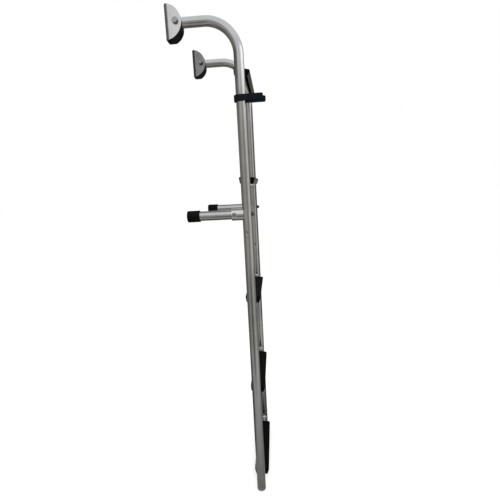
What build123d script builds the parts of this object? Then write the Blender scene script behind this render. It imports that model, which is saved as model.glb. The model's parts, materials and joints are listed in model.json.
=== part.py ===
"""Swim ladder that hangs from two pivoting wall brackets.

X runs out from the wall, Y along the wall and Z up, in millimetres. The origin lies on the wall,
midway between the brackets, at the height of their pivots. Pieces of one side are drawn for a rail
at Y 0 with its outboard face towards -Y, then set on the left and mirrored to the right.
"""
import os
from math import hypot, sqrt

from build123d import *

# Rails
RAIL_SPACING = 330.0
TUBE_DIAMETER = 25.4
TUBE_WALL = 2.0
TUBE_END_CHAMFER = 0.6
ARM_TAIL = 10.0
ARM_STRAIGHT = 67.5
BEND_RADIUS = 82.0
RAIL_FOOT = 16.0

# Rungs
RUNG_DIAMETER = 22.2
RUNG_WALL = 1.8
BEND_TO_RUNG = 35.0
UPPER_PITCH = 280.0
UPPER_RUNGS = 2
JOINT_TO_RUNG = 192.0
LOWER_PITCH = 277.5
LOWER_RUNGS = 3

# Treads
TREAD_WIDTH = 46.0
TREAD_DRAFT = 5.0
TREAD_PLATE = 3.0
TREAD_SKIRT = 2.6
TREAD_SKIRT_DROP = 3.5
TREAD_EDGE_RADIUS = 3.5
TREAD_CORNER_RADIUS = 7.0
TREAD_TILTS = (11.0, 5.0, 6.0, 9.0, 5.0)
TREAD_END_GAP = 42.5
TREAD_BAYS = 4
TREAD_WEB = 4.0
TREAD_RIBS = 7
TREAD_RIB_EDGE = 0.6
TREAD_RIB_WIDTH = 2.4
TREAD_RIB_HEIGHT = 1.0
TREAD_RIB_MARGIN = 6.0
TREAD_SCREW_INSET = 30.0
TREAD_SCREW_DIAMETER = 4.2
TREAD_SCREW_BITE = 2.6
TREAD_SCREW_HEAD = 8.0
TREAD_SCREW_HEAD_HEIGHT = 2.4
TREAD_SCREW_HEAD_ROUND = 1.2
SCREW_CLEARANCE = 0.1

# Wall brackets and pivots
BRACKET_SHEET = 3.0
BRACKET_FOLD_INSIDE = 8.0
BRACKET_UPPER_CORNER = 2.5
BRACKET_LOWER_CORNER = 6.0
CHEEK_LIP = 14.6
CHEEK_SAG = 1.0
ARM_SIDE_GAP = 1.8
SWING_CLEARANCE = 8.0
WALL_HOLE_DIAMETER = 6.6
WALL_HOLE_SPACING = 54.0
PIVOT_BOLT_DIAMETER = 8.0
PIVOT_CLEARANCE = 0.08
BUSH_WALL = 3.0
BUSH_END_CLEARANCE = 0.3
PIVOT_HEX = 13.0
PIVOT_HEAD_HEIGHT = 5.3
PIVOT_NUT_HEIGHT = 6.5
PIVOT_NUT_COLLAR = 1.8
PIVOT_NUT_SHOULDER = 1.5
PIVOT_WASHER_DIAMETER = 16.0
PIVOT_WASHER_THICKNESS = 1.2
BOLT_END = 1.5
BUMPER_GAP = 0.4
BUMPER_CLEARANCE = 0.1
BUMPER_BACK = 2.0
BUMPER_INSET = 0.3
BUMPER_RADIUS = 35.5
BUMPER_DROP = 9.1
BUMPER_SHOE = 1.5
BUMPER_CROWN = 60.0
BUMPER_CORNER = 2.5
BUMPER_EDGE_RADIUS = 1.5
BUMPER_RELIEF = 0.6
DRIVER_BORE = 11.0

# Coupling between the rail lengths, with its snap button
COUPLING_ABOVE = 50.0
COUPLING_BELOW = 90.0
COUPLING_WALL = 2.0
COUPLING_CLEARANCE = 0.15
RIVET_INSET = 22.0
RIVET_DIAMETER = 4.8
RIVET_HEAD = 9.0
RIVET_HEAD_HEIGHT = 1.8
RIVET_HEAD_ROUND = 1.4
BUTTON_RISE = 16.0
BUTTON_DIAMETER = 8.0
BUTTON_CLEARANCE = 0.08
BUTTON_PROUD = 3.2
BUTTON_EDGE_RADIUS = 1.2
BUTTON_FLANGE = 11.0
BUTTON_FLANGE_THICKNESS = 1.5
BUTTON_FLANGE_GAP = 0.2
SPRING_STRIP = 0.8
SPRING_WIDTH = 6.0
SPRING_LENGTH = 34.0
SPRING_BEND_RADIUS = 2.0
SPRING_GAP = 0.1

# Standoffs
RUNG_TO_STANDOFF = 83.0
COUPLING_TO_ANCHOR = 12.0
STANDOFF_WALL_GAP = 16.8
CAP_LENGTH = 33.6
CAP_END = 8.0
CAP_WALL = 2.7
CAP_EDGE_RADIUS = 3.0
SOCKET_LENGTH = 28.0
SOCKET_WALL = 3.2
SOCKET_FLOOR = 6.0
SOCKET_WRAP = 4.0
SOCKET_CLEARANCE = 0.1
SOCKET_BOLT_INSET = 7.7
SPOT_DEPTH = 1.0
SPOT_MARGIN = 2.0
STANDOFF_BOLT_DIAMETER = 6.0
STANDOFF_BOLT_CLEARANCE = 0.2
STANDOFF_HEX = 10.0
STANDOFF_HEAD_HEIGHT = 4.0
STANDOFF_NUT_HEIGHT = 5.0
ANCHOR_HEAD_GAP = 0.8
DOME_NUT_HEX_HEIGHT = 3.2
DOME_NUT_SHOULDER = 0.6

# Hexagons, whose top corners are turned off
HEX_TURNED = 0.95

# Rail end plugs
PLUG_STEM = 18.0
PLUG_CLEARANCE = 0.1
PLUG_FLANGE = 2.5
PLUG_EDGE_RADIUS = 1.5

# Tie strap round the left rail
RUNG_TO_STRAP = 70.5
STRAP_WIDTH = 16.0
STRAP_THICKNESS = 2.4
STRAP_CLEARANCE = 0.15
STRAP_SLACK = 1.3
STRAP_LONG_TAIL = 62.5
STRAP_SHORT_TAIL = 56.0
STRAP_TAIL_SPLIT = 3.4

# Sizes worked out from those above
TUBE_RADIUS = TUBE_DIAMETER / 2
TUBE_BORE = TUBE_RADIUS - TUBE_WALL
RUNG_RADIUS = RUNG_DIAMETER / 2
SWING_RADIUS = hypot(ARM_TAIL, TUBE_RADIUS)
PIVOT_X = BRACKET_SHEET + SWING_CLEARANCE + SWING_RADIUS
BRACKET_RADIUS = PIVOT_X + CHEEK_LIP
BRACKET_INSIDE = TUBE_DIAMETER + 2 * ARM_SIDE_GAP
BRACKET_WIDTH = BRACKET_INSIDE + 2 * BRACKET_SHEET
BRACKET_FOLD_OUTSIDE = BRACKET_FOLD_INSIDE + BRACKET_SHEET
RAIL_X = PIVOT_X + ARM_STRAIGHT + BEND_RADIUS
RAIL_FRONT = RAIL_X - TUBE_RADIUS
RAIL_BACK = RAIL_X + TUBE_RADIUS
TOP_RUNG_Z = -(BEND_RADIUS + BEND_TO_RUNG)
STANDOFF_Z = TOP_RUNG_Z - (UPPER_RUNGS - 1) * UPPER_PITCH - RUNG_TO_STANDOFF
JOINT_Z = STANDOFF_Z - COUPLING_TO_ANCHOR - COUPLING_ABOVE
BUTTON_Z = JOINT_Z + BUTTON_RISE
RIVET_Z = JOINT_Z - COUPLING_BELOW + RIVET_INSET
UPPER_RUNG_HEIGHTS = [TOP_RUNG_Z - index * UPPER_PITCH for index in range(UPPER_RUNGS)]
LOWER_RUNG_HEIGHTS = [JOINT_Z - JOINT_TO_RUNG - index * LOWER_PITCH for index in range(LOWER_RUNGS)]
RUNG_HEIGHTS = UPPER_RUNG_HEIGHTS + LOWER_RUNG_HEIGHTS
FOOT_Z = RUNG_HEIGHTS[-1] - RAIL_FOOT
COUPLING_BORE = TUBE_BORE - COUPLING_WALL
BUTTON_TIP = TUBE_RADIUS + BUTTON_PROUD
BUTTON_FLANGE_FACE = sqrt(COUPLING_BORE ** 2 - (BUTTON_FLANGE / 2) ** 2) - BUTTON_FLANGE_GAP
TREAD_LENGTH = RAIL_SPACING - 2 * TREAD_END_GAP
TREAD_TOP = RUNG_RADIUS + TREAD_PLATE
TREAD_FLAT = TREAD_WIDTH - 2 * (TREAD_EDGE_RADIUS + TREAD_RIB_EDGE)
TREAD_RIB_PITCH = (TREAD_FLAT - TREAD_RIB_WIDTH) / (TREAD_RIBS - 1)
TREAD_SCREW_Y = TREAD_LENGTH / 2 - TREAD_SCREW_INSET
SOCKET_BORE = TUBE_RADIUS + SOCKET_CLEARANCE
SOCKET_RADIUS = SOCKET_BORE + SOCKET_WALL
SOCKET_MOUTH = RAIL_FRONT - SOCKET_LENGTH
SOCKET_FLOOR_X = RAIL_FRONT - SOCKET_FLOOR
SOCKET_BOLT_X = SOCKET_MOUTH + SOCKET_BOLT_INSET
SPOT_FACE = SOCKET_RADIUS - SPOT_DEPTH
STANDOFF_TUBE_END = SOCKET_FLOOR_X - STANDOFF_HEAD_HEIGHT - ANCHOR_HEAD_GAP
DOME_RADIUS = STANDOFF_HEX / 2 - DOME_NUT_SHOULDER
STRAP_INSIDE = TUBE_RADIUS + STRAP_SLACK + STRAP_CLEARANCE
STRAP_OUTSIDE = STRAP_INSIDE + STRAP_THICKNESS

# Directions that a piece drawn along +Z is turned to
TOWARDS_PLUS_X = Rot(0, 90, 0)
TOWARDS_PLUS_Y = Rot(-90, 0, 0)
TOWARDS_MINUS_Y = Rot(90, 0, 0)
TURNED_OVER = Rot(180, 0, 0)
ON_BASE = (Align.CENTER, Align.CENTER, Align.MIN)


def rod(diameter, length):
    """Round bar that stands on the origin."""
    return Cylinder(diameter / 2, length, align=ON_BASE)


def through(diameter, length):
    """Round bar centred on the origin, for cutting holes right through."""
    return Cylinder(diameter / 2, length)


def hexagon(across_flats, height):
    """Hexagonal bar that stands on the origin, with the corners of its top turned off."""
    bar = extrude(RegularPolygon(across_flats / 2, 6, major_radius=False), height)
    top = HEX_TURNED * across_flats / 2
    return bar & Cone(top + sqrt(3) * height, top, height, align=ON_BASE)


def save(name, shape):
    """Write one sub-part."""
    export_step(shape, f"parts/{name}.step")


def on_left(piece):
    """Set a piece drawn for a rail at Y 0 on the left rail."""
    return Pos(0, -RAIL_SPACING / 2, 0) * piece


def on_right(piece):
    """Set the mirror image of a piece on the right rail."""
    return mirror(on_left(piece), about=Plane.XZ)


def save_pair(name, piece):
    """Write a piece for the left rail and its mirror image for the right."""
    save(f"{name}_left", on_left(piece))
    save(f"{name}_right", on_right(piece))


def save_group(name, pieces):
    """Write like fasteners of both rails as one group of separate solids."""
    both = [on_left(piece) for piece in pieces] + [on_right(piece) for piece in pieces]
    save(name, Compound([solid for piece in both for solid in piece.solids()]))


def d_outline(radius, reach, upper_corner, lower_corner):
    """Disc that reaches out from the wall and is cut off flat there, with both corners rounded."""
    disc = Pos(reach - radius, 0) * Circle(radius)
    outline = disc - Pos(-2 * radius, 0) * Rectangle(4 * radius, 4 * radius)
    outline = fillet(outline.vertices().sort_by(Axis.Y)[-1], radius=upper_corner)
    return fillet(outline.vertices().sort_by(Axis.Y)[0], radius=lower_corner)


def bracket_side(clearance=0.0):
    """Half disc of the bracket's side, centred a little below the pivot, widened by a clearance."""
    radius = BRACKET_RADIUS + clearance
    return Pos(0, -CHEEK_SAG) * d_outline(radius, radius, BRACKET_UPPER_CORNER, BRACKET_LOWER_CORNER)


def channel_section(wall, half_width, corner_radius):
    """Plan outline that starts at the wall, with both of its back corners rounded."""
    outline = Pos(wall, 0) * Rectangle(2 * BRACKET_RADIUS, 2 * half_width, align=(Align.MIN, Align.CENTER))
    return fillet(outline.vertices().group_by(Axis.X)[0], radius=corner_radius)


def bracket():
    """Folded channel whose two cheeks are half discs."""
    outside = channel_section(0, BRACKET_WIDTH / 2, BRACKET_FOLD_OUTSIDE)
    inside = channel_section(BRACKET_SHEET, BRACKET_INSIDE / 2, BRACKET_FOLD_INSIDE)
    channel = extrude(outside - inside, 2 * BRACKET_RADIUS, both=True)
    cheeks = extrude(Plane.XZ * bracket_side(), BRACKET_WIDTH, both=True)
    body = channel & cheeks
    body -= Pos(PIVOT_X, 0, 0) * TOWARDS_PLUS_Y * through(PIVOT_BOLT_DIAMETER, 2 * BRACKET_WIDTH)
    for height in (-WALL_HOLE_SPACING / 2, WALL_HOLE_SPACING / 2):
        body -= Pos(0, 0, height) * TOWARDS_PLUS_X * through(WALL_HOLE_DIAMETER, 3 * BRACKET_SHEET)
    return body


def bumper():
    """Rubber block between the cheeks that the arm rests on, with a rounded shoe below them."""
    reach = BRACKET_RADIUS - BUMPER_INSET - BUMPER_BACK
    outline = Pos(BUMPER_BACK, -BUMPER_DROP) * d_outline(BUMPER_RADIUS, reach, BUMPER_CORNER, BUMPER_CORNER)
    block = extrude(Plane.XZ * outline, BRACKET_WIDTH / 2, both=True)
    sides = block.faces().sort_by(Axis.Y)
    block = fillet(sides[0].edges() + sides[-1].edges(), radius=BUMPER_EDGE_RADIUS)
    crown_height = BUMPER_CROWN - BUMPER_SHOE - BRACKET_RADIUS - CHEEK_SAG
    block &= Pos(0, 0, crown_height) * TOWARDS_PLUS_X * through(2 * BUMPER_CROWN, 4 * BRACKET_RADIUS)
    half_inside = BRACKET_INSIDE / 2 - BUMPER_CLEARANCE
    plan = channel_section(BRACKET_SHEET + BUMPER_CLEARANCE, half_inside, BRACKET_FOLD_INSIDE)
    between_cheeks = block & extrude(plan, 2 * BRACKET_RADIUS, both=True)
    below_bracket = block - extrude(Plane.XZ * bracket_side(BUMPER_CLEARANCE), BRACKET_WIDTH, both=True)
    block = between_cheeks + below_bracket
    seat = -(TUBE_RADIUS + BUMPER_GAP)
    block -= Pos(0, 0, seat) * Box(4 * BRACKET_RADIUS, 2 * BRACKET_WIDTH, 2 * BRACKET_RADIUS, align=ON_BASE)
    relief = 2 * (SWING_RADIUS + BUMPER_RELIEF)
    block -= Pos(PIVOT_X, 0, 0) * TOWARDS_PLUS_Y * through(relief, 2 * BRACKET_WIDTH)
    block -= Pos(0, 0, -WALL_HOLE_SPACING / 2) * TOWARDS_PLUS_X * through(DRIVER_BORE, 4 * BRACKET_RADIUS)
    return block


def pivot_bolt():
    """Hex bolt through both cheeks, with its head outboard."""
    seat = BRACKET_WIDTH / 2 + PIVOT_WASHER_THICKNESS
    length = 2 * seat + PIVOT_NUT_HEIGHT + PIVOT_NUT_COLLAR + BOLT_END
    head = Pos(PIVOT_X, -seat, 0) * TOWARDS_MINUS_Y * hexagon(PIVOT_HEX, PIVOT_HEAD_HEIGHT)
    shank = Pos(PIVOT_X, -seat, 0) * TOWARDS_PLUS_Y * rod(PIVOT_BOLT_DIAMETER, length)
    return head + shank


def pivot_nut():
    """Locking nut on the inboard end of the pivot bolt."""
    seat = BRACKET_WIDTH / 2 + PIVOT_WASHER_THICKNESS
    nut = hexagon(PIVOT_HEX, PIVOT_NUT_HEIGHT)
    nut += Pos(0, 0, PIVOT_NUT_HEIGHT) * rod(PIVOT_HEX - 2 * PIVOT_NUT_SHOULDER, PIVOT_NUT_COLLAR)
    nut -= through(PIVOT_BOLT_DIAMETER, 4 * PIVOT_NUT_HEIGHT)
    return Pos(PIVOT_X, seat, 0) * TOWARDS_PLUS_Y * nut


def pivot_washers():
    """Washers under the head and the nut."""
    washer = rod(PIVOT_WASHER_DIAMETER, PIVOT_WASHER_THICKNESS)
    washer -= through(PIVOT_BOLT_DIAMETER, 4 * PIVOT_WASHER_THICKNESS)
    outboard = Pos(PIVOT_X, -BRACKET_WIDTH / 2, 0) * TOWARDS_MINUS_Y * washer
    inboard = Pos(PIVOT_X, BRACKET_WIDTH / 2, 0) * TOWARDS_PLUS_Y * washer
    return [outboard, inboard]


def pivot_bush():
    """Bush welded across the arm, which turns on the pivot bolt."""
    bore = PIVOT_BOLT_DIAMETER + 2 * PIVOT_CLEARANCE
    length = BRACKET_INSIDE - 2 * BUSH_END_CLEARANCE
    bush = through(bore + 2 * BUSH_WALL, length) - through(bore, 2 * length)
    return Pos(PIVOT_X, 0, 0) * TOWARDS_PLUS_Y * bush


def upper_rail():
    """Upper length of a rail, bent over into the arm that reaches the bracket."""
    arm_end = (PIVOT_X - ARM_TAIL, 0, 0)
    path = FilletPolyline(arm_end, (RAIL_X, 0, 0), (RAIL_X, 0, JOINT_Z), radius=BEND_RADIUS)
    section = Plane(origin=arm_end, z_dir=(1, 0, 0)) * (Circle(TUBE_RADIUS) - Circle(TUBE_BORE))
    rail = sweep(section, path=path)
    lower_rim = rail.edges().group_by(Axis.Z)[0].sort_by(SortBy.RADIUS)[-1]
    rail = chamfer(lower_rim, length=TUBE_END_CHAMFER)
    bush = PIVOT_BOLT_DIAMETER + 2 * (PIVOT_CLEARANCE + BUSH_WALL)
    rail -= Pos(PIVOT_X, 0, 0) * TOWARDS_PLUS_Y * through(bush, 2 * TUBE_DIAMETER)
    anchor = STANDOFF_BOLT_DIAMETER + 2 * STANDOFF_BOLT_CLEARANCE
    rail -= Pos(RAIL_X, 0, STANDOFF_Z) * TOWARDS_PLUS_X * through(anchor, 2 * TUBE_DIAMETER)
    return rail - button_hole()


def button_hole():
    """Cutter for the hole that the snap button comes out of."""
    cutter = rod(BUTTON_DIAMETER + 2 * BUTTON_CLEARANCE, TUBE_DIAMETER)
    return Pos(RAIL_X, 0, BUTTON_Z) * TOWARDS_MINUS_Y * cutter


def rivet_hole():
    """Cutter for the hole of the rivet that holds the coupling."""
    return Pos(RAIL_X, 0, RIVET_Z) * TOWARDS_PLUS_Y * rod(RIVET_DIAMETER, TUBE_DIAMETER)


def lower_rail():
    """Straight lower length of a rail."""
    length = JOINT_Z - FOOT_Z
    rail = Pos(RAIL_X, 0, FOOT_Z) * (rod(TUBE_DIAMETER, length) - rod(2 * TUBE_BORE, length))
    upper_rim = rail.edges().group_by(Axis.Z)[-1].sort_by(SortBy.RADIUS)[-1]
    rail = chamfer(upper_rim, length=TUBE_END_CHAMFER)
    return rail - rivet_hole()


def coupling():
    """Inner tube fixed in the lower rail, which slides into the upper one."""
    spigot = Pos(0, 0, JOINT_Z) * rod(2 * (TUBE_BORE - COUPLING_CLEARANCE), COUPLING_ABOVE)
    shank = Pos(0, 0, JOINT_Z - COUPLING_BELOW) * rod(2 * TUBE_BORE, COUPLING_BELOW)
    tube = spigot + shank
    tube -= Pos(0, 0, JOINT_Z) * through(2 * COUPLING_BORE, 3 * (COUPLING_ABOVE + COUPLING_BELOW))
    return Pos(RAIL_X, 0, 0) * tube - button_hole() - rivet_hole()


def coupling_rivet():
    """Blind rivet through the lower rail and the coupling."""
    start = COUPLING_BORE - RIVET_HEAD_HEIGHT
    shank = Pos(0, 0, start) * rod(RIVET_DIAMETER, TUBE_RADIUS - start)
    head = rod(RIVET_HEAD, RIVET_HEAD_HEIGHT)
    head = fillet(head.edges().group_by(Axis.Z)[-1], radius=RIVET_HEAD_ROUND)
    rivet = shank + Pos(0, 0, TUBE_RADIUS) * head
    return Pos(RAIL_X, 0, RIVET_Z) * TOWARDS_PLUS_Y * rivet


def snap_button():
    """Button that locks the coupling in the upper rail, with a flange inside."""
    base = BUTTON_FLANGE_FACE - BUTTON_FLANGE_THICKNESS
    pin = Pos(0, 0, base) * rod(BUTTON_DIAMETER, BUTTON_TIP - base)
    pin = fillet(pin.edges().group_by(Axis.Z)[-1], radius=BUTTON_EDGE_RADIUS)
    button = pin + Pos(0, 0, base) * rod(BUTTON_FLANGE, BUTTON_FLANGE_THICKNESS)
    return Pos(RAIL_X, 0, BUTTON_Z) * TOWARDS_MINUS_Y * button


def button_spring():
    """Leaf spring folded in a V behind the button, its far leg on the coupling's wall."""
    half_strip = SPRING_STRIP / 2
    near = -(BUTTON_FLANGE_FACE - BUTTON_FLANGE_THICKNESS - SPRING_GAP - half_strip)
    far = sqrt(COUPLING_BORE ** 2 - (SPRING_WIDTH / 2) ** 2) - SPRING_GAP - half_strip
    top = BUTTON_FLANGE / 2
    line = FilletPolyline(
        (near, top),
        (near, -top),
        (far - 2 * SPRING_BEND_RADIUS, -SPRING_LENGTH),
        (far, -SPRING_LENGTH),
        (far, top),
        radius=SPRING_BEND_RADIUS,
    )
    strip = extrude(Plane.YZ * trace(line, line_width=SPRING_STRIP), SPRING_WIDTH / 2, both=True)
    return Pos(RAIL_X, 0, BUTTON_Z) * strip


def rung(height, tilt):
    """Rung tube with its ends coped to the rails and holes for the screws of its tread."""
    tube = through(RUNG_DIAMETER, RAIL_SPACING) - through(RUNG_DIAMETER - 2 * RUNG_WALL, RAIL_SPACING)
    tube = TOWARDS_PLUS_Y * tube
    for side in (-1, 1):
        tube -= Pos(0, side * RAIL_SPACING / 2, 0) * through(TUBE_DIAMETER, 4 * RUNG_DIAMETER)
        hole = through(TREAD_SCREW_DIAMETER + 2 * SCREW_CLEARANCE, 2 * RUNG_DIAMETER)
        tube -= Rot(0, tilt, 0) * Pos(0, side * TREAD_SCREW_Y, 0) * hole
    return Pos(RAIL_X, 0, height) * tube


def tread_outline(inset, top):
    """Tapered tread section, drawn in from its outer faces by an inset."""
    upper = TREAD_WIDTH / 2 - inset
    lower = upper - TREAD_DRAFT
    bottom = -TREAD_SKIRT_DROP
    return Polygon((-upper, top), (-lower, bottom), (lower, bottom), (upper, top), align=None)


def tread(height, tilt):
    """Ribbed step moulding, open below, that sits over a rung."""
    outline = tread_outline(0, TREAD_TOP)
    outline = fillet(outline.vertices().group_by(Axis.Y)[-1], radius=TREAD_EDGE_RADIUS)
    body = extrude(Plane.XZ * outline, TREAD_LENGTH / 2, both=True)
    plan = RectangleRounded(TREAD_WIDTH, TREAD_LENGTH, TREAD_CORNER_RADIUS)
    body &= extrude(plan, TREAD_WIDTH, both=True)
    bay_length = (TREAD_LENGTH - (TREAD_BAYS + 1) * TREAD_WEB) / TREAD_BAYS
    hollow = extrude(Plane.XZ * tread_outline(TREAD_SKIRT, RUNG_RADIUS), bay_length / 2, both=True)
    for bay in range(TREAD_BAYS):
        middle = (bay - (TREAD_BAYS - 1) / 2) * (bay_length + TREAD_WEB)
        body -= Pos(0, middle, 0) * hollow
    body -= TOWARDS_PLUS_Y * through(RUNG_DIAMETER, 2 * TREAD_LENGTH)
    rib = Box(TREAD_RIB_WIDTH, TREAD_LENGTH - 2 * TREAD_RIB_MARGIN, TREAD_RIB_HEIGHT, align=ON_BASE)
    for index in range(TREAD_RIBS):
        offset = (index - (TREAD_RIBS - 1) / 2) * TREAD_RIB_PITCH
        body += Pos(offset, 0, TREAD_TOP) * rib
    for side in (-1, 1):
        pilot = rod(TREAD_SCREW_DIAMETER, RUNG_RADIUS + TREAD_SCREW_BITE)
        body -= Pos(0, side * TREAD_SCREW_Y, 0) * pilot
    return Pos(RAIL_X, 0, height) * Rot(0, tilt, 0) * body


def tread_screws():
    """Screws from below that stop each tread from turning on its rung."""
    shank = Pos(0, 0, -RUNG_RADIUS) * rod(TREAD_SCREW_DIAMETER, 2 * RUNG_RADIUS + TREAD_SCREW_BITE)
    head = rod(TREAD_SCREW_HEAD, TREAD_SCREW_HEAD_HEIGHT)
    head = fillet(head.edges().group_by(Axis.Z)[0], radius=TREAD_SCREW_HEAD_ROUND)
    screw = shank + Pos(0, 0, -RUNG_RADIUS - TREAD_SCREW_HEAD_HEIGHT) * head
    placed = []
    for height, tilt in zip(RUNG_HEIGHTS, TREAD_TILTS):
        for side in (-1, 1):
            turned = Rot(0, tilt, 0) * Pos(0, side * TREAD_SCREW_Y, 0) * screw
            placed += (Pos(RAIL_X, 0, height) * turned).solids()
    return Compound(placed)


def standoff_socket():
    """Socket that wraps the front of the rail and holds the standoff tube."""
    length = SOCKET_LENGTH + SOCKET_WRAP
    socket = rod(2 * SOCKET_RADIUS, length)
    socket -= rod(2 * SOCKET_BORE, SOCKET_LENGTH - SOCKET_FLOOR)
    anchor = STANDOFF_BOLT_DIAMETER + 2 * STANDOFF_BOLT_CLEARANCE
    socket -= through(anchor, 4 * length)
    socket = Pos(SOCKET_MOUTH, 0, STANDOFF_Z) * TOWARDS_PLUS_X * socket
    socket -= Pos(RAIL_X, 0, STANDOFF_Z) * through(TUBE_DIAMETER, 4 * SOCKET_RADIUS)
    bolt_line = Pos(SOCKET_BOLT_X, 0, STANDOFF_Z) * TOWARDS_PLUS_Y
    socket -= bolt_line * through(anchor, 4 * SOCKET_RADIUS)
    for direction in (TOWARDS_PLUS_Y, TOWARDS_MINUS_Y):
        spot = Pos(0, 0, SPOT_FACE) * rod(STANDOFF_HEX + 2 * SPOT_MARGIN, SOCKET_RADIUS)
        socket -= Pos(SOCKET_BOLT_X, 0, STANDOFF_Z) * direction * spot
    return socket


def standoff_tube():
    """Tube that holds the ladder off the hull."""
    start = STANDOFF_WALL_GAP + CAP_END
    length = STANDOFF_TUBE_END - start
    tube = rod(TUBE_DIAMETER, length) - rod(2 * TUBE_BORE, length)
    tube = Pos(start, 0, STANDOFF_Z) * TOWARDS_PLUS_X * tube
    hole = through(STANDOFF_BOLT_DIAMETER + 2 * STANDOFF_BOLT_CLEARANCE, 4 * TUBE_DIAMETER)
    return tube - Pos(SOCKET_BOLT_X, 0, STANDOFF_Z) * TOWARDS_PLUS_Y * hole


def standoff_cap():
    """Rubber cap on the end of the standoff tube."""
    cap = rod(TUBE_DIAMETER + 2 * CAP_WALL, CAP_LENGTH)
    cap = fillet(cap.edges().group_by(Axis.Z)[0], radius=CAP_EDGE_RADIUS)
    cap -= Pos(0, 0, CAP_END) * rod(TUBE_DIAMETER, CAP_LENGTH)
    return Pos(STANDOFF_WALL_GAP, 0, STANDOFF_Z) * TOWARDS_PLUS_X * cap


def cross_bolt():
    """Bolt across the socket and the standoff tube, with its head outboard."""
    length = 2 * SPOT_FACE + STANDOFF_NUT_HEIGHT + BOLT_END
    head = Pos(0, -SPOT_FACE, 0) * TOWARDS_MINUS_Y * hexagon(STANDOFF_HEX, STANDOFF_HEAD_HEIGHT)
    shank = Pos(0, -SPOT_FACE, 0) * TOWARDS_PLUS_Y * rod(STANDOFF_BOLT_DIAMETER, length)
    return Pos(SOCKET_BOLT_X, 0, STANDOFF_Z) * (head + shank)


def cross_nut():
    """Nut on the inboard end of the cross bolt."""
    nut = hexagon(STANDOFF_HEX, STANDOFF_NUT_HEIGHT)
    nut -= through(STANDOFF_BOLT_DIAMETER, 4 * STANDOFF_NUT_HEIGHT)
    return Pos(SOCKET_BOLT_X, SPOT_FACE, STANDOFF_Z) * TOWARDS_PLUS_Y * nut


def anchor_bolt():
    """Bolt from inside the socket, through the rail to its back."""
    head = TURNED_OVER * hexagon(STANDOFF_HEX, STANDOFF_HEAD_HEIGHT)
    length = RAIL_BACK + DOME_NUT_HEX_HEIGHT - SOCKET_FLOOR_X
    bolt = head + rod(STANDOFF_BOLT_DIAMETER, length)
    return Pos(SOCKET_FLOOR_X, 0, STANDOFF_Z) * TOWARDS_PLUS_X * bolt


def anchor_nut():
    """Domed nut on the back of the rail."""
    nut = hexagon(STANDOFF_HEX, DOME_NUT_HEX_HEIGHT)
    lower_half = Pos(0, 0, -2 * DOME_RADIUS) * Box(4 * DOME_RADIUS, 4 * DOME_RADIUS, 4 * DOME_RADIUS)
    dome = Sphere(DOME_RADIUS) - lower_half
    nut += Pos(0, 0, DOME_NUT_HEX_HEIGHT) * dome
    nut -= rod(STANDOFF_BOLT_DIAMETER, DOME_NUT_HEX_HEIGHT)
    return Pos(RAIL_BACK, 0, STANDOFF_Z) * TOWARDS_PLUS_X * nut


def rail_end_plug():
    """Plastic plug that closes the foot of a rail."""
    flange = Pos(0, 0, -PLUG_FLANGE) * rod(TUBE_DIAMETER, PLUG_FLANGE)
    flange = fillet(flange.edges().group_by(Axis.Z)[0], radius=PLUG_EDGE_RADIUS)
    stem = rod(2 * (TUBE_BORE - PLUG_CLEARANCE), PLUG_STEM)
    return Pos(RAIL_X, 0, FOOT_Z) * (flange + stem)


def tie_strap():
    """Webbing laid once round the left rail, with its two ends pressed together as a doubled tail."""
    loop = Pos(-STRAP_SLACK, 0) * (Circle(STRAP_OUTSIDE) - Circle(STRAP_INSIDE))
    band = extrude(loop, STRAP_WIDTH / 2, both=True)
    start = STRAP_INSIDE - STRAP_SLACK
    for side, reach in ((-1, STRAP_SHORT_TAIL), (1, STRAP_LONG_TAIL)):
        from_start = (Align.MIN, Align.CENTER, Align.CENTER)
        tail = Box(reach - start, STRAP_THICKNESS, STRAP_WIDTH, align=from_start)
        band += Pos(start, side * STRAP_THICKNESS / 2, -side * STRAP_TAIL_SPLIT) * tail
    return Pos(RAIL_X, 0, TOP_RUNG_Z - RUNG_TO_STRAP) * band


os.makedirs("parts", exist_ok=True)

save_pair("bracket", bracket())
save_pair("bumper", bumper())
save_pair("pivot_bolt", pivot_bolt())
save_group("pivot_nuts", [pivot_nut()])
save_group("pivot_washers", pivot_washers())
save_pair("pivot_bush", pivot_bush())

save_pair("upper_rail", upper_rail())
save_pair("lower_rail", lower_rail())
save_pair("coupling", coupling())
save_group("coupling_rivets", [coupling_rivet()])
save_pair("snap_button", snap_button())
save_pair("button_spring", button_spring())
save_pair("rail_end_plug", rail_end_plug())

for index, (height, tilt) in enumerate(zip(RUNG_HEIGHTS, TREAD_TILTS), start=1):
    save(f"rung_{index}", rung(height, tilt))
    save(f"tread_{index}", tread(height, tilt))
save("tread_screws", tread_screws())

save_pair("standoff_socket", standoff_socket())
save_pair("standoff_tube", standoff_tube())
save_pair("standoff_cap", standoff_cap())
save_group("cross_bolts", [cross_bolt()])
save_group("cross_nuts", [cross_nut()])
save_group("anchor_bolts", [anchor_bolt()])
save_group("anchor_nuts", [anchor_nut()])

save("tie_strap", on_left(tie_strap()))
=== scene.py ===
"""Looks of the swim ladder: finishes, weld beads, leaf springs, webbing strap, camera and light.

Lengths are in metres, in the frame of the part: X out from the wall, Y along it and Z up.
"""
import json
import math

import bmesh
import bpy
from mathutils import Matrix, Vector


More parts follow.
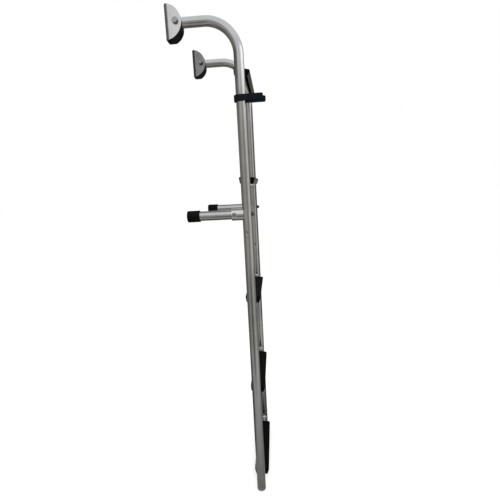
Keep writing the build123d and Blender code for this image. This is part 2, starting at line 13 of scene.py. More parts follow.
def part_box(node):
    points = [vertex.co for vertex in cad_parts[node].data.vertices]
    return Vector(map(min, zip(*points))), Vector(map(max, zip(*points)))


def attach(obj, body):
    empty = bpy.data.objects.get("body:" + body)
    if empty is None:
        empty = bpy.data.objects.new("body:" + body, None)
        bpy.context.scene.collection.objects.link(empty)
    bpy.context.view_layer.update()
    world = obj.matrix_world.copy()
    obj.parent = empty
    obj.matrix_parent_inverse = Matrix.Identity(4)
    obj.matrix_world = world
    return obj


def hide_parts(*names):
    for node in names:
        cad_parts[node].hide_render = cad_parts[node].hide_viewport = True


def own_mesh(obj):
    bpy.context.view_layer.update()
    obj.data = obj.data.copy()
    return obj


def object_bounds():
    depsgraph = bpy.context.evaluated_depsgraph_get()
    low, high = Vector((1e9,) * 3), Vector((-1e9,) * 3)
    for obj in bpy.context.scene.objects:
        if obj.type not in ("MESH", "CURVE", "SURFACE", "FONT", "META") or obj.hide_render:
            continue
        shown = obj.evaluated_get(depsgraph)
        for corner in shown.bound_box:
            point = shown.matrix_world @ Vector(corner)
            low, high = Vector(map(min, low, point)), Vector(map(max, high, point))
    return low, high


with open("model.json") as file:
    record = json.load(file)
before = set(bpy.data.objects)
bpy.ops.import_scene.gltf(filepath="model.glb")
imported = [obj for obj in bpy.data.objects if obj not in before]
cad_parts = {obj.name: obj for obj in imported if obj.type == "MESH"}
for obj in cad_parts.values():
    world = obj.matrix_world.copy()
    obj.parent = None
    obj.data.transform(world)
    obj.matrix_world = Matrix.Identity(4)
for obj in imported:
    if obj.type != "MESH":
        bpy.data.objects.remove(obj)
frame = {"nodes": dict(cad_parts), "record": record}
cad_low, cad_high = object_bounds()
cad_middle = (cad_low + cad_high) / 2

MM = 0.001
WHITE = (1.0, 1.0, 1.0, 1.0)

# Ladder
SIDES = ("left", "right")
RUNGS = range(1, 6)
BEND_RADIUS = 82 * MM

# Weld beads round the rung ends, thin at the flanks where the tubes meet almost in line
WELD_RADIUS = 4.2 * MM
WELD_FLANK_RADIUS = 1.2 * MM
WELD_RIPPLE = 0.4 * MM
WELD_RIPPLES = 34
WELD_DRIFT = 0.3
WELD_DRIFTS = 3
WELD_STEPS = 8 * WELD_RIPPLES
WELD_PROFILE = 9
WELD_OVERLAP = math.radians(14)
WELD_ROOT = 0.6 * MM

# Webbing strap, laid once round the left rail
STRAP_WIDTH = 16 * MM
STRAP_THICKNESS = 2.2 * MM
STRAP_HALF_GAP = 0.52 * STRAP_THICKNESS
STRAP_EDGE_SHARE = 0.2
STRAP_SLACK = 1.3 * MM
STRAP_PINCH_RADIUS = 4 * MM
STRAP_TAIL_SPLIT = 3.4 * MM
STRAP_SPLIT_START = 4 * MM
STRAP_SPLIT_END = 20 * MM
STRAP_SHORT_TAIL = 56 * MM
STRAP_TIP_RADIUS = 4 * MM
STRAP_STEP = 0.42 * MM
WEAVE_PITCH = 1.7 * MM
WEAVE_DEPTH = 0.09 * MM

# Noises of the finishes: grains to the metre, detail and roughness
TUBE_LINES = (900.0, 4.0, 0.6)
TUBE_CLOUDS = (28.0, 3.0, 0.55)
TUBE_MARKS = (160.0, 4.0, 0.7)
SHEET_GRAIN = (700.0, 4.0, 0.6)
SHEET_WAVES = (45.0, 2.0, 0.55)
STEEL_GRAIN = (1400.0, 3.0, 0.55)
WELD_GRAIN = (900.0, 4.0, 0.6)
MOULDED_GRAIN = (1500.0, 3.0, 0.55)
MOULDED_DUST = (60.0, 4.0, 0.65)
WEBBING_YARNS = (1500.0, 3.0, 0.55)

# Scales of the axes for the noises, small along an axis that a noise is drawn out on
DRAWN = 0.02
TUBE_STRETCH = {"bend": (1, 1, DRAWN), "x": (DRAWN, 1, 1), "y": (1, DRAWN, 1), "z": (1, 1, DRAWN)}
SHEET_STRETCH = (1, 1, 0.15)
WEBBING_STRETCH = (0.5, 0.5, 1.0)

# Values of a noise, and of how far a surface faces away from the wall, between which a finish changes
NOISE_SPAN = (0.3, 0.7)
DUST_SPAN = (0.35, 0.75)
OUTWARD_SPAN = (0.6, 0.9)

# Share of the lines in the tone and in the polish of a tube, against clouds and marks
LINES_IN_TONE = 0.35
LINES_IN_POLISH = 0.5

# Dark and pale tones
TUBE_TONES = ((0.494, 0.50, 0.511), (0.593, 0.60, 0.613))
WELD_TONES = ((0.60, 0.60, 0.595), (0.78, 0.78, 0.775))
RUBBER_TONES = ((0.0015, 0.002, 0.0024), (0.0045, 0.0052, 0.006))
PLASTIC_TONES = ((0.0008, 0.0008, 0.001), (0.0025, 0.0025, 0.003))
WEBBING_TONES = ((0.003, 0.0055, 0.010), (0.008, 0.012, 0.020))
SOCKET_GREYS = (0.68, 0.78)
BRACKET_GREYS = (0.57, 0.65)
# Greys of the right bracket: the same sheet as the left, darkened as painted shade
SHADED_BRACKET_GREYS = (0.19, 0.25)
STEEL_GREYS = (0.30, 0.40)
# Greys of the nuts: the same steel, darkened as painted shade
SHADED_STEEL_GREYS = (0.10, 0.16)
STEEL_BLUE = 1.01

# Least and greatest roughness, with the least on the side of a moulding that faces away from the wall
TUBE_ROUGHNESS = (0.14, 0.24)
SHEET_ROUGHNESS = (0.13, 0.22)
STEEL_ROUGHNESS = (0.15, 0.26)
WELD_ROUGHNESS = (0.32, 0.5)
WEBBING_ROUGHNESS = (0.75, 0.95)
RUBBER_ROUGHNESS = (0.6, 0.7)
PLASTIC_ROUGHNESS = (0.3, 0.78)
GRAIN_ROUGHNESS = (-0.08, 0.08)

# Shine of the black materials
RUBBER_SHINE = 0.15
PLASTIC_SHINE = 0.12
WEBBING_SHINE = 0.2

# Depths of the bumps
METAL_DEPTH = 0.02 * MM
WELD_DEPTH = 0.04 * MM
WAVE_DEPTH = 0.7 * MM
MOULDED_DEPTH = 0.12 * MM
YARN_DEPTH = 0.06 * MM

# Camera, fitted to the rails, treads, brackets and standoffs in the photograph
CAMERA_PLACE = Vector((0.2520, -1.1843, -0.4055))
CAMERA_FORWARD = Vector((-0.07016, 0.98367, -0.16577))
CAMERA_UP = Vector((0.0410, 0.16888, 0.98478))
CAMERA_LENS = 27.609
CAMERA_SENSOR = 36.0

# Studio
FLOOR_SIZE = 40.0
FLOOR_COLOUR = (0.86, 0.86, 0.85, 1.0)
FLOOR_ROUGHNESS = 0.9
FLOOR_GLOW = 0.62
WORLD_FILL = 0.42
ROOM_RADIUS = 3.2
ROOM_TOP = 1.7
ROOM_SIDES = 90
ROOM_RISE = 4 * MM

# Lamps: place, target, width, height and brightness
LAMPS = {
    "overhead": ((0.2, -0.7, 1.7), (0.17, 0.0, -0.3), 2.0, 1.4, 1.3),
    "key": ((1.9, -1.15, 0.6), (0.17, 0.0, -0.35), 0.7, 1.5, 3.0),
    "fill": ((-1.4, -2.0, 0.2), (0.17, 0.0, -0.6), 1.2, 1.6, 0.5),
}

# Greys of the studio by bearing in degrees from +X: the wall below and above, and the ground near and far
WALL_LOW = (
    (-180, 0.25), (-150, 0.30), (-122, 0.54), (-97, 0.54), (-75, 0.38), (-48, 0.36), (-36, 0.85),
    (12, 0.85), (28, 0.30), (62, 0.20), (70, 0.24), (84, 0.75), (97, 0.75), (103, 0.25), (180, 0.25),
)
WALL_HIGH = (
    (-180, 0.12), (-130, 0.15), (-118, 0.75), (-97, 1.00), (-75, 0.75), (-50, 1.05), (-26, 1.80),
    (5, 1.70), (30, 0.90), (60, 0.15), (77, 0.15), (84, 0.75), (97, 0.75), (103, 0.12), (180, 0.12),
)
GROUND_NEAR = (
    (-180, 0.08), (-150, 0.12), (-120, 0.42), (-97, 0.45), (-75, 0.48), (-50, 0.45), (-25, 0.42),
    (5, 0.36), (40, 0.20), (180, 0.08),
)
GROUND_FAR = (
    (-180, 0.12), (-150, 0.20), (-115, 0.40), (-97, 0.12), (-75, 0.13), (-50, 0.42), (-25, 0.48),
    (5, 0.25), (40, 0.20), (180, 0.15),
)
CEILING_GREY = 0.9
BRIGHTEST = 2.0

# Heights of the wall and reaches of the ground between which the first greys give way to the second
WALL_CHANGE = (0.35, 0.80)
GROUND_CHANGE = (0.60, 1.00)

# Levels that the greys are multiplied by, by height on the wall and by reach on the ground
WALL_LEVELS = (
    (-1.3, 0.88), (-1.0, 0.88), (-0.5, 0.78), (0.0, 0.86), (0.4, 0.93), (0.8, 1.05), (1.2, 1.0), (1.7, 1.0),
)
# The dip in the ground's levels at a reach of about 0.2 m, round the feet, is a painted shadow of the
# ladder
GROUND_LEVELS = (
    (0.0, 0.75), (0.13, 0.65), (0.2, 0.45), (0.35, 0.68), (0.55, 0.86), (0.9, 1.3), (1.4, 1.0), (3.2, 1.0),
)

# Tints of the first greys and of the second
WALL_TINTS = ((1.0, 0.95, 0.86), (0.985, 0.985, 1.0))
GROUND_TINTS = ((1.0, 0.99, 0.945), (1.0, 0.975, 0.91))

# Dark card that the right rail reflects: grey, and its corner and two edges
RAIL_FLAG_GREY = 0.15
RAIL_FLAG = (Vector((0.36, 0.10, -0.95)), Vector((0.0, 0.70, 0.0)), Vector((0.0, 0.0, 0.85)))

# Dark cards that the tops of the standoffs reflect: grey, and a corner from a tube's middle and two edges
STANDOFF_FLAG_GREY = 0.25
STANDOFF_FLAG = (Vector((-0.13, -0.013, 0.05)), Vector((0.22, 0.0, 0.0)), Vector((0.0, 0.06, 0.0)))


def link(tree, source, target):
    """Join two sockets."""
    tree.links.new(source, target)


def node(tree, kind, inputs=None, **settings):
    """Add a node, set its options, and set or link its inputs by name or number."""
    made = tree.nodes.new(kind)
    for name, value in settings.items():
        setattr(made, name, value)
    for name, value in (inputs or {}).items():
        if isinstance(value, bpy.types.NodeSocket):
            link(tree, value, made.inputs[name])
        else:
            made.inputs[name].default_value = value
    return made


def math_node(tree, operation, first, second):
    """Result of one sum on sockets or numbers."""
    return node(tree, "ShaderNodeMath", {0: first, 1: second}, operation=operation).outputs[0]


def mixed(tree, first, second, share):
    """Mean of two values, with the share of the first."""
    part = math_node(tree, "MULTIPLY", first, share)
    return math_node(tree, "ADD", part, math_node(tree, "MULTIPLY", second, 1 - share))


def empty_material(name):
    """Material with no nodes yet."""
    material = bpy.data.materials.new(name)
    material.use_nodes = True
    material.node_tree.nodes.clear()
    return material, material.node_tree


def new_material(name):
    """Material with only a Principled shader."""
    material, tree = empty_material(name)
    shader = node(tree, "ShaderNodeBsdfPrincipled")
    output = node(tree, "ShaderNodeOutputMaterial")
    link(tree, shader.outputs[0], output.inputs["Surface"])
    return material, tree, shader


def place(tree):
    """Place of the shaded point, in metres in the part's frame at rest."""
    return node(tree, "ShaderNodeTexCoord").outputs["Object"]


def scaled(tree, vector, scale):
    """Vector stretched by a scale for each axis."""
    return node(tree, "ShaderNodeVectorMath", {0: vector, 1: scale}, operation="MULTIPLY").outputs[0]


def noise(tree, vector, scale, detail, roughness):
    """Noise from 0 to 1."""
    inputs = {"Vector": vector, "Scale": scale, "Detail": detail, "Roughness": roughness}
    return node(tree, "ShaderNodeTexNoise", inputs).outputs[0]


def spread(tree, value, low, high, start=NOISE_SPAN[0], stop=NOISE_SPAN[1]):
    """Value stretched from the span where it starts and stops to a wanted one."""
    inputs = {"Value": value, "From Min": start, "From Max": stop, "To Min": low, "To Max": high}
    return node(tree, "ShaderNodeMapRange", inputs).outputs[0]


def colours(tree, value, *stops):
    """Colours along a value from 0 to 1, each stop a position and a colour."""
    ramp = node(tree, "ShaderNodeValToRGB", {0: value})
    elements = ramp.color_ramp.elements
    while len(elements) < len(stops):
        elements.new(1.0)
    for element, (position, colour) in zip(elements, stops):
        element.position = position
        element.color = (*colour, 1.0)
    return ramp.outputs[0]


def tones(tree, value, pair, span=NOISE_SPAN):
    """Colours from the first of a pair to the second over a span of a value."""
    return colours(tree, value, *zip(span, pair))


def greys(tree, value, stops):
    """Greys along a value, each stop a value and a grey, kept in the colours as shares of the brightest."""
    low, high = stops[0][0], stops[-1][0]
    share = spread(tree, value, 0.0, 1.0, low, high)
    steps = [((at - low) / (high - low), 3 * (grey / BRIGHTEST,)) for at, grey in stops]
    return math_node(tree, "MULTIPLY", colours(tree, share, *steps), BRIGHTEST)


def bump(tree, shader, height, depth):
    """Raise the surface by a height from 0 to 1, depth metres at most."""
    made = node(tree, "ShaderNodeBump", {"Height": height, "Distance": depth, "Strength": 1.0})
    link(tree, made.outputs[0], shader.inputs["Normal"])


def polish(tree, shader, base, value, roughness):
    """Make a shader metal, with a base colour and a roughness that goes over its span with a value."""
    link(tree, base, shader.inputs["Base Color"])
    shader.inputs["Metallic"].default_value = 1.0
    link(tree, spread(tree, value, *roughness), shader.inputs["Roughness"])


def middle(name):
    """Middle of a node's box."""
    low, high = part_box(name)
    return (low + high) / 2


def along_bend(tree):
    """Vector whose first two parts run across a bent rail and whose third runs along it."""
    bend_x = middle("lower_rail_left").x - BEND_RADIUS
    parts = node(tree, "ShaderNodeSeparateXYZ", {0: place(tree)}).outputs
    out = math_node(tree, "MAXIMUM", math_node(tree, "SUBTRACT", parts[0], bend_x), 0.0)
    up = math_node(tree, "MAXIMUM", math_node(tree, "ADD", parts[2], BEND_RADIUS), 0.0)
    flat = node(tree, "ShaderNodeCombineXYZ", {0: out, 1: up}).outputs[0]
    across = node(tree, "ShaderNodeVectorMath", {0: flat}, operation="LENGTH").outputs["Value"]
    length = math_node(tree, "SUBTRACT", parts[0], parts[2])
    return node(tree, "ShaderNodeCombineXYZ", {0: across, 1: parts[1], 2: length}).outputs[0]


def tube_metal(name, streaks):
    """Drawn aluminium tube: fine lines along it, handling marks, and a soft polish."""
    material, tree, shader = new_material(name)
    vector = along_bend(tree) if streaks == "bend" else place(tree)
    lines = noise(tree, scaled(tree, vector, TUBE_STRETCH[streaks]), *TUBE_LINES)
    clouds = noise(tree, place(tree), *TUBE_CLOUDS)
    marks = noise(tree, place(tree), *TUBE_MARKS)
    base = tones(tree, mixed(tree, lines, clouds, LINES_IN_TONE), TUBE_TONES)
    polish(tree, shader, base, mixed(tree, lines, marks, LINES_IN_POLISH), TUBE_ROUGHNESS)
    bump(tree, shader, lines, METAL_DEPTH)
    return material


def sheet_metal(name, dull, bright):
    """Pressed aluminium sheet with a fine grain and a faint wave in its flats."""
    material, tree, shader = new_material(name)
    grain = noise(tree, scaled(tree, place(tree), SHEET_STRETCH), *SHEET_GRAIN)
    waves = noise(tree, place(tree), *SHEET_WAVES)
    base = tones(tree, waves, [(grey, grey, grey) for grey in (dull, bright)])
    polish(tree, shader, base, grain, SHEET_ROUGHNESS)
    bump(tree, shader, waves, WAVE_DEPTH)
    return material


def plain_steel(name, dull, bright):
    """Stainless fastener with turned faces."""
    material, tree, shader = new_material(name)
    grain = noise(tree, place(tree), *STEEL_GRAIN)
    base = tones(tree, grain, [(grey, grey, STEEL_BLUE * grey) for grey in (dull, bright)])
    polish(tree, shader, base, grain, STEEL_ROUGHNESS)
    bump(tree, shader, grain, METAL_DEPTH)
    return material


def weld_metal(name):
    """Weld bead, paler and rougher than the tubes."""
    material, tree, shader = new_material(name)
    grain = noise(tree, place(tree), *WELD_GRAIN)
    polish(tree, shader, tones(tree, grain, WELD_TONES), grain, WELD_ROUGHNESS)
    bump(tree, shader, grain, WELD_DEPTH)
    return material


def black_moulding(name, pair, roughness, shine):
    """Black rubber or plastic with a fine grain and dust, smoother on the side away from the wall."""
    material, tree, shader = new_material(name)
    grain = noise(tree, place(tree), *MOULDED_GRAIN)
    dust = noise(tree, place(tree), *MOULDED_DUST)
    link(tree, tones(tree, dust, pair, DUST_SPAN), shader.inputs["Base Color"])
    facing = node(tree, "ShaderNodeTexCoord").outputs["Normal"]
    outward = node(tree, "ShaderNodeSeparateXYZ", {0: facing}).outputs[0]
    finish = spread(tree, outward, *reversed(roughness), *OUTWARD_SPAN)
    change = spread(tree, grain, *GRAIN_ROUGHNESS)
    link(tree, math_node(tree, "ADD", finish, change), shader.inputs["Roughness"])
    shader.inputs["Specular IOR Level"].default_value = shine
    bump(tree, shader, grain, MOULDED_DEPTH)
    return material


def woven_black(name):
    """Black webbing whose yarns differ a little in tone."""
    material, tree, shader = new_material(name)
    yarns = noise(tree, scaled(tree, place(tree), WEBBING_STRETCH), *WEBBING_YARNS)
    link(tree, tones(tree, yarns, WEBBING_TONES), shader.inputs["Base Color"])
    link(tree, spread(tree, yarns, *WEBBING_ROUGHNESS), shader.inputs["Roughness"])
    shader.inputs["Specular IOR Level"].default_value = WEBBING_SHINE
    bump(tree, shader, yarns, YARN_DEPTH)
    return material


def dress_node(name, material):
    """Give one node its material."""
    mesh = frame["nodes"][name].data
    mesh.materials.clear()
    mesh.materials.append(material)


def dress(slot, material):
    """Give one material to every node of a record slot."""
    for row in frame["record"]["subparts"]:
        if row["material_slot"] == slot:
            dress_node(row["node"], material)


def finish_nodes():
    """Materials of the parts that keep their own shape."""
    cast = sheet_metal("socket_metal", *SOCKET_GREYS)
    bent = tube_metal("tube_bent", "bend")
    crosswise = tube_metal("tube_rung", "y")
    outward = tube_metal("tube_standoff", "x")
    dress("tube", tube_metal("tube_upright", "z"))
    for side in SIDES:
        dress_node(f"upper_rail_{side}", bent)
        dress_node(f"standoff_tube_{side}", outward)
    for number in RUNGS:
        dress_node(f"rung_{number}", crosswise)
    dress_node("bracket_left", sheet_metal("bracket_sheet", *BRACKET_GREYS))
    # The right bracket gets a darker copy of the sheet: painted shade
    dress_node("bracket_right", sheet_metal("bracket_sheet_painted_shade", *SHADED_BRACKET_GREYS))
    dress("socket_metal", cast)
    dress("inner_metal", cast)
    dress("steel", plain_steel("steel", *STEEL_GREYS))
    # The nuts get a darker copy of the steel: painted shade
    painted_shade_steel = plain_steel("painted_shade_steel", *SHADED_STEEL_GREYS)
    for name in ("cross_nuts", "anchor_nuts", "pivot_nuts"):
        dress_node(name, painted_shade_steel)
    dress("rubber", black_moulding("rubber", RUBBER_TONES, RUBBER_ROUGHNESS, RUBBER_SHINE))
    dress("tread_plastic", black_moulding("plastic", PLASTIC_TONES, PLASTIC_ROUGHNESS, PLASTIC_SHINE))


def mesh_object(name, vertices, faces):
    """New mesh object in the scene."""
    mesh = bpy.data.meshes.new(name)
    mesh.from_pydata(vertices, [], faces)
    mesh.update()
    made = bpy.data.objects.new(name, mesh)
    bpy.context.scene.collection.objects.link(made)
    return made


def solid_object(name, vertices, faces, material):
    """Closed smooth mesh object with its faces turned outward."""
    made = mesh_object(name, vertices, faces)
    work = bmesh.new()
    work.from_mesh(made.data)
    bmesh.ops.recalc_face_normals(work, faces=work.faces)
    work.to_mesh(made.data)
    work.free()
    made.data.shade_smooth()
    made.data.materials.append(material)
    return made


def loop_faces(rings, points, closed):
    """Quads between neighbouring rings of points, joined end to start where the loop is closed."""
    faces = []
    for ring in range(rings if closed else rings - 1):
        here = ring * points
        there = (ring + 1) % rings * points
        for point in range(points):
            after = (point + 1) % points
            faces.append((here + point, here + after, there + after, there + point))
    return faces


def weld_section(turn, rung_radius, rail_radius):
    """Bead section at a turn round the rung: distances from the rung's axis and from the rail's."""
    across = math.cos(turn)
    corner = Vector((rung_radius, math.sqrt(rail_radius ** 2 - (rung_radius * across) ** 2)))
    start = math.pi / 2 + WELD_OVERLAP
    stop = math.atan2(-rung_radius * across ** 2, corner.y) - WELD_OVERLAP
    ripple = abs(math.sin(WELD_RIPPLES * turn / 2 + WELD_DRIFT * math.sin(WELD_DRIFTS * turn)))
    fullness = (WELD_RADIUS - WELD_FLANK_RADIUS) * (1 - across ** 2)
    radius = WELD_FLANK_RADIUS + fullness + WELD_RIPPLE * ripple
    section = [corner - Vector((WELD_ROOT, WELD_ROOT))]
    for step in range(WELD_PROFILE + 1):
        angle = start + (stop - start) * step / WELD_PROFILE
        section.append(corner + radius * Vector((math.cos(angle), math.sin(angle))))
    return section


def weld_bead(number, side, material):
    """Rippled weld round one end of a rung, on the saddle where it meets the rail."""
    rung_low, rung_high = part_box(f"rung_{number}")
    rail_low, rail_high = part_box(f"lower_rail_{side}")
    centre = middle(f"rung_{number}")
    rail = middle(f"lower_rail_{side}")
    inward = math.copysign(1.0, -rail.y)
    vertices = []
    for step in range(WELD_STEPS):
        turn = 2 * math.pi * step / WELD_STEPS
        section = weld_section(turn, (rung_high.z - rung_low.z) / 2, (rail_high.y - rail_low.y) / 2)
        for away, along in section:
            x = centre.x + away * math.cos(turn)
            z = centre.z + away * math.sin(turn)
            vertices.append((x, rail.y + inward * along, z))
    faces = loop_faces(WELD_STEPS, len(section), closed=True)
    bead = solid_object(f"weld_{number}_{side}", vertices, faces, material)
    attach(bead, "ladder")


def make_welds():
    """Weld beads at both ends of every rung."""
    material = weld_metal("weld_metal")
    for number in RUNGS:
        for side in SIDES:
            weld_bead(number, side, material)


def make_springs():
    """Leaf springs, as copies of the stiff solids, in their place."""
    for side in SIDES:
        name = f"button_spring_{side}"
        stiff = frame["nodes"][name].data
        vertices = [vertex.co.copy() for vertex in stiff.vertices]
        faces = [tuple(face.vertices) for face in stiff.polygons]
        spring = mesh_object(f"leaf_spring_{side}", vertices, faces)
        spring.data.materials.append(stiff.materials[0])
        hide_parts(name)
        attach(spring, "ladder")
        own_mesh(spring)


def straight(start, stop):
    """Even points from a start up to a stop, without the stop."""
    count = max(1, round((stop - start).length / STRAP_STEP))
    return [start.lerp(stop, index / count) for index in range(count)]


def arc(centre, radius, start, stop):
    """Even points on an arc between two angles, without the last."""
    count = max(1, round(abs(stop - start) * radius / STRAP_STEP))
    angles = [start + (stop - start) * index / count for index in range(count)]
    return [centre + radius * Vector((math.cos(angle), math.sin(angle))) for angle in angles]


def strap_line(loop_radius, long_tail):
    """Plan of the strap's middle from its near tip, round the rail and out to its far tip."""
    loop = Vector((-STRAP_SLACK, 0))
    side_step = STRAP_HALF_GAP + STRAP_PINCH_RADIUS
    pinch_x = loop.x + math.sqrt((loop_radius + STRAP_PINCH_RADIUS) ** 2 - side_step ** 2)
    opening = math.asin(side_step / (loop_radius + STRAP_PINCH_RADIUS))
    quarter = math.pi / 2
    line = straight(Vector((STRAP_SHORT_TAIL, -STRAP_HALF_GAP)), Vector((pinch_x, -STRAP_HALF_GAP)))
    line += arc(Vector((pinch_x, -side_step)), STRAP_PINCH_RADIUS, quarter, math.pi - opening)
    line += arc(loop, loop_radius, -opening, opening - 2 * math.pi)
    line += arc(Vector((pinch_x, side_step)), STRAP_PINCH_RADIUS, math.pi + opening, 3 * quarter)
    tip = Vector((long_tail, STRAP_HALF_GAP))
    return line + straight(Vector((pinch_x, STRAP_HALF_GAP)), tip) + [tip]


def strap_rise(point):
    """How far the strap's middle stands above or below its loop."""
    share = (point.x - STRAP_SPLIT_START) / (STRAP_SPLIT_END - STRAP_SPLIT_START)
    share = min(1.0, max(0.0, share))
    return -math.copysign(STRAP_TAIL_SPLIT, point.y) * share * share * (3 - 2 * share)


def strap_section(travel, length):
    """Woven section of the strap: heights and thicknesses round it, at a distance along the strap."""
    to_tip = min(travel, length - travel, STRAP_TIP_RADIUS)
    cut = STRAP_TIP_RADIUS - to_tip
    half_width = STRAP_WIDTH / 2 - STRAP_TIP_RADIUS + math.sqrt(STRAP_TIP_RADIUS ** 2 - cut ** 2)
    count = round(STRAP_WIDTH / STRAP_STEP)
    edge = STRAP_THICKNESS / 2
    along = math.sin(2 * math.pi * travel / WEAVE_PITCH)
    face = []
    for index in range(count + 1):
        height = -half_width + 2 * half_width * index / count
        weave = WEAVE_DEPTH * along * math.sin(2 * math.pi * height / WEAVE_PITCH)
        from_edge = max(0.0, min(half_width - abs(height), edge))
        round_off = math.sqrt(edge ** 2 - (edge - from_edge) ** 2)
        face.append((height, STRAP_EDGE_SHARE * edge + (1 - STRAP_EDGE_SHARE) * round_off, weave))
    front = [(height, depth + weave) for height, depth, weave in face]
    back = [(height, -depth + weave) for height, depth, weave in reversed(face)]
    return front + back


def make_strap():
    """Webbing strap in the place of its plain solid."""
    low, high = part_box("tie_strap")
    rail = middle("upper_rail_left")
    rail_x = middle("lower_rail_left").x
    loop_radius = (rail_x - low.x) - STRAP_SLACK - STRAP_THICKNESS / 2
    line = strap_line(loop_radius, high.x - rail_x)
    travels = [0.0]
    for before, after in zip(line, line[1:]):
        travels.append(travels[-1] + (after - before).length)
    vertices = []
    for index, point in enumerate(line):
        heading = (line[min(index + 1, len(line) - 1)] - line[max(index - 1, 0)]).normalized()
        outward = Vector((heading.y, -heading.x))
        section = strap_section(travels[index], travels[-1])
        for height, depth in section:
            spot = point + outward * depth
            z = (low.z + high.z) / 2 + strap_rise(point) + height
            vertices.append((rail_x + spot.x, rail.y + spot.y, z))
    points = len(section)
    faces = loop_faces(len(line), points, closed=False)
    last = (len(line) - 1) * points
    faces += [tuple(range(points)), tuple(range(last, last + points))]
    strap = solid_object("webbing_strap", vertices, faces, woven_black("webbing"))
    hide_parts("tie_strap")
    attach(strap, "ladder")


def seen_white(tree):
    """1 for rays from the camera, mirrors and glass, and 0 for the rest."""
    path = node(tree, "ShaderNodeLightPath").outputs
    seen = math_node(tree, "MAXIMUM", path["Is Camera Ray"], path["Is Glossy Ray"])
    return math_node(tree, "MAXIMUM", seen, path["Is Transmission Ray"])


def make_world():
    """White background, with a softer fill for the light that it casts."""
    world = bpy.data.worlds.new("studio")
    bpy.context.scene.world = world
    world.use_nodes = True
    tree = world.node_tree
    tree.nodes.clear()
    strength = spread(tree, seen_white(tree), WORLD_FILL, 1.0, 0.0, 1.0)
    background = node(tree, "ShaderNodeBackground", {"Color": WHITE, "Strength": strength})
    output = node(tree, "ShaderNodeOutputWorld")
    link(tree, background.outputs[0], output.inputs["Surface"])


def make_floor():
    """Pale floor under the feet that keeps the shadow."""
    half = FLOOR_SIZE / 2
    corners = [(-half, -half), (half, -half), (half, half), (-half, half)]
    floor = mesh_object("floor", [(x, y, cad_low.z) for x, y in corners], [(0, 1, 2, 3)])
    material, tree, shader = new_material("floor")
    shader.inputs["Base Color"].default_value = FLOOR_COLOUR
    shader.inputs["Roughness"].default_value = FLOOR_ROUGHNESS
    shader.inputs["Emission Color"].default_value = WHITE
    glow = math_node(tree, "MULTIPLY", seen_white(tree), FLOOR_GLOW)
    link(tree, glow, shader.inputs["Emission Strength"])
    floor.data.materials.append(material)


def add_glow(tree, colour, strength):
    """Make an empty material glow."""
    glow = node(tree, "ShaderNodeEmission", {"Color": colour, "Strength": strength})
    output = node(tree, "ShaderNodeOutputMaterial")
    link(tree, glow.outputs[0], output.inputs["Surface"])


def plain_glow(name, grey):
    """Even glow of one grey."""
    material, tree = empty_material(name)
    add_glow(tree, WHITE, grey)
    return material


def room_glow(name, first, second, change, levels, tints, upright):
    """Glow by bearing from the ladder, from first to second greys with the height or the reach."""
    material, tree = empty_material(name)
    from_middle = {0: place(tree), 1: (cad_middle.x, cad_middle.y, 0.0)}
    spot = node(tree, "ShaderNodeVectorMath", from_middle, operation="SUBTRACT").outputs[0]
    parts = node(tree, "ShaderNodeSeparateXYZ", {0: spot}).outputs
    bearing = math_node(tree, "ARCTAN2", parts[1], parts[0])
    degrees = math_node(tree, "MULTIPLY", bearing, 180 / math.pi)
    flat = node(tree, "ShaderNodeCombineXYZ", {0: parts[0], 1: parts[1]}).outputs[0]
    reach = node(tree, "ShaderNodeVectorMath", {0: flat}, operation="LENGTH").outputs["Value"]
    distance = parts[2] if upright else reach
    before = greys(tree, degrees, first)
    after = greys(tree, degrees, second)
    share = spread(tree, distance, 0.0, 1.0, *change)
    step = math_node(tree, "MULTIPLY", share, math_node(tree, "SUBTRACT", after, before))
    grey = math_node(tree, "ADD", before, step)
    strength = math_node(tree, "MULTIPLY", grey, greys(tree, distance, levels))
    add_glow(tree, tones(tree, share, tints, (0.0, 1.0)), strength)
    return material


def studio_card(name, vertices, faces, material):
    """Card that shows only in shiny surfaces."""
    card = mesh_object(name, vertices, faces)
    card.data.materials.append(material)
    card.visible_camera = False
    card.visible_diffuse = False
    card.visible_transmission = False
    card.visible_volume_scatter = False
    card.visible_shadow = False


def flag_card(name, grey, corner, first, second):
    """Card of one grey, from a corner along two edges."""
    corners = [corner, corner + first, corner + first + second, corner + second]
    studio_card(name, corners, [(0, 1, 2, 3)], plain_glow(name, grey))


def room_edge(level):
    """Points round the room at one level."""
    points = []
    for index in range(ROOM_SIDES):
        turn = 2 * math.pi * index / ROOM_SIDES
        x = cad_middle.x + ROOM_RADIUS * math.cos(turn)
        y = cad_middle.y + ROOM_RADIUS * math.sin(turn)
        points.append((x, y, level))
    return points


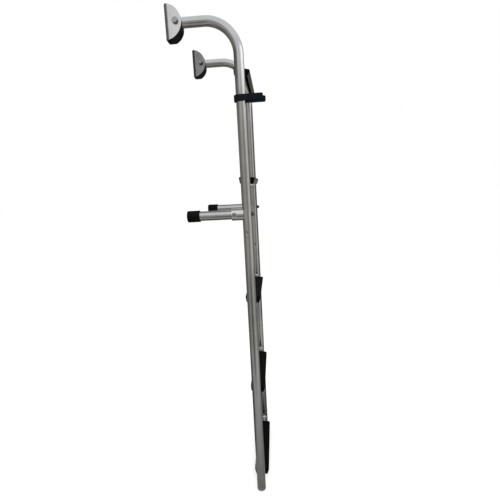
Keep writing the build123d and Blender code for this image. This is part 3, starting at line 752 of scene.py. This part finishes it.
def make_room():
    """Grey wall, ground, ceiling and dark cards that give the metal something to reflect."""
    low = room_edge(cad_low.z + ROOM_RISE)
    high = room_edge(ROOM_TOP)
    disc = [tuple(range(ROOM_SIDES))]
    sides = loop_faces(2, ROOM_SIDES, closed=False)
    wall = (WALL_LOW, WALL_HIGH, WALL_CHANGE, WALL_LEVELS, WALL_TINTS)
    ground = (GROUND_NEAR, GROUND_FAR, GROUND_CHANGE, GROUND_LEVELS, GROUND_TINTS)
    studio_card("studio_wall", low + high, sides, room_glow("studio_wall", *wall, upright=True))
    studio_card("studio_ground", low, disc, room_glow("studio_ground", *ground, upright=False))
    studio_card("studio_ceiling", high, disc, plain_glow("studio_ceiling", CEILING_GREY))
    flag_card("flag_rail", RAIL_FLAG_GREY, *RAIL_FLAG)
    for side in SIDES:
        corner, first, second = STANDOFF_FLAG
        tube = middle(f"standoff_tube_{side}")
        flag_card(f"flag_standoff_{side}", STANDOFF_FLAG_GREY, tube + corner, first, second)


def soft_box(name, location, target, width, height, brightness):
    """Area lamp of a given brightness, aimed at a point, that doesn't show in shiny surfaces."""
    data = bpy.data.lights.new(name, "AREA")
    data.shape = "RECTANGLE"
    data.size = width
    data.size_y = height
    data.energy = brightness * math.pi * width * height
    lamp = bpy.data.objects.new(name, data)
    bpy.context.scene.collection.objects.link(lamp)
    lamp.location = location
    lamp.rotation_mode = "QUATERNION"
    lamp.rotation_quaternion = (Vector(target) - Vector(location)).to_track_quat("-Z", "Y")
    lamp.visible_glossy = False


def make_studio():
    """World, floor, grey room and lamps."""
    make_world()
    make_floor()
    make_room()
    for name, settings in LAMPS.items():
        soft_box(name, *settings)


def make_camera():
    """Camera at the photograph's viewpoint."""
    data = bpy.data.cameras.new("camera")
    data.lens = CAMERA_LENS
    data.sensor_width = CAMERA_SENSOR
    camera = bpy.data.objects.new("camera", data)
    bpy.context.scene.collection.objects.link(camera)
    right = CAMERA_FORWARD.cross(CAMERA_UP).normalized()
    up = right.cross(CAMERA_FORWARD).normalized()
    turn = Matrix((right, up, -CAMERA_FORWARD.normalized())).transposed()
    camera.matrix_world = Matrix.Translation(CAMERA_PLACE) @ turn.to_4x4()
    bpy.context.scene.camera = camera


finish_nodes()
make_welds()
make_springs()
make_strap()
make_studio()
make_camera()
bpy.context.scene.view_settings.view_transform = "Standard"
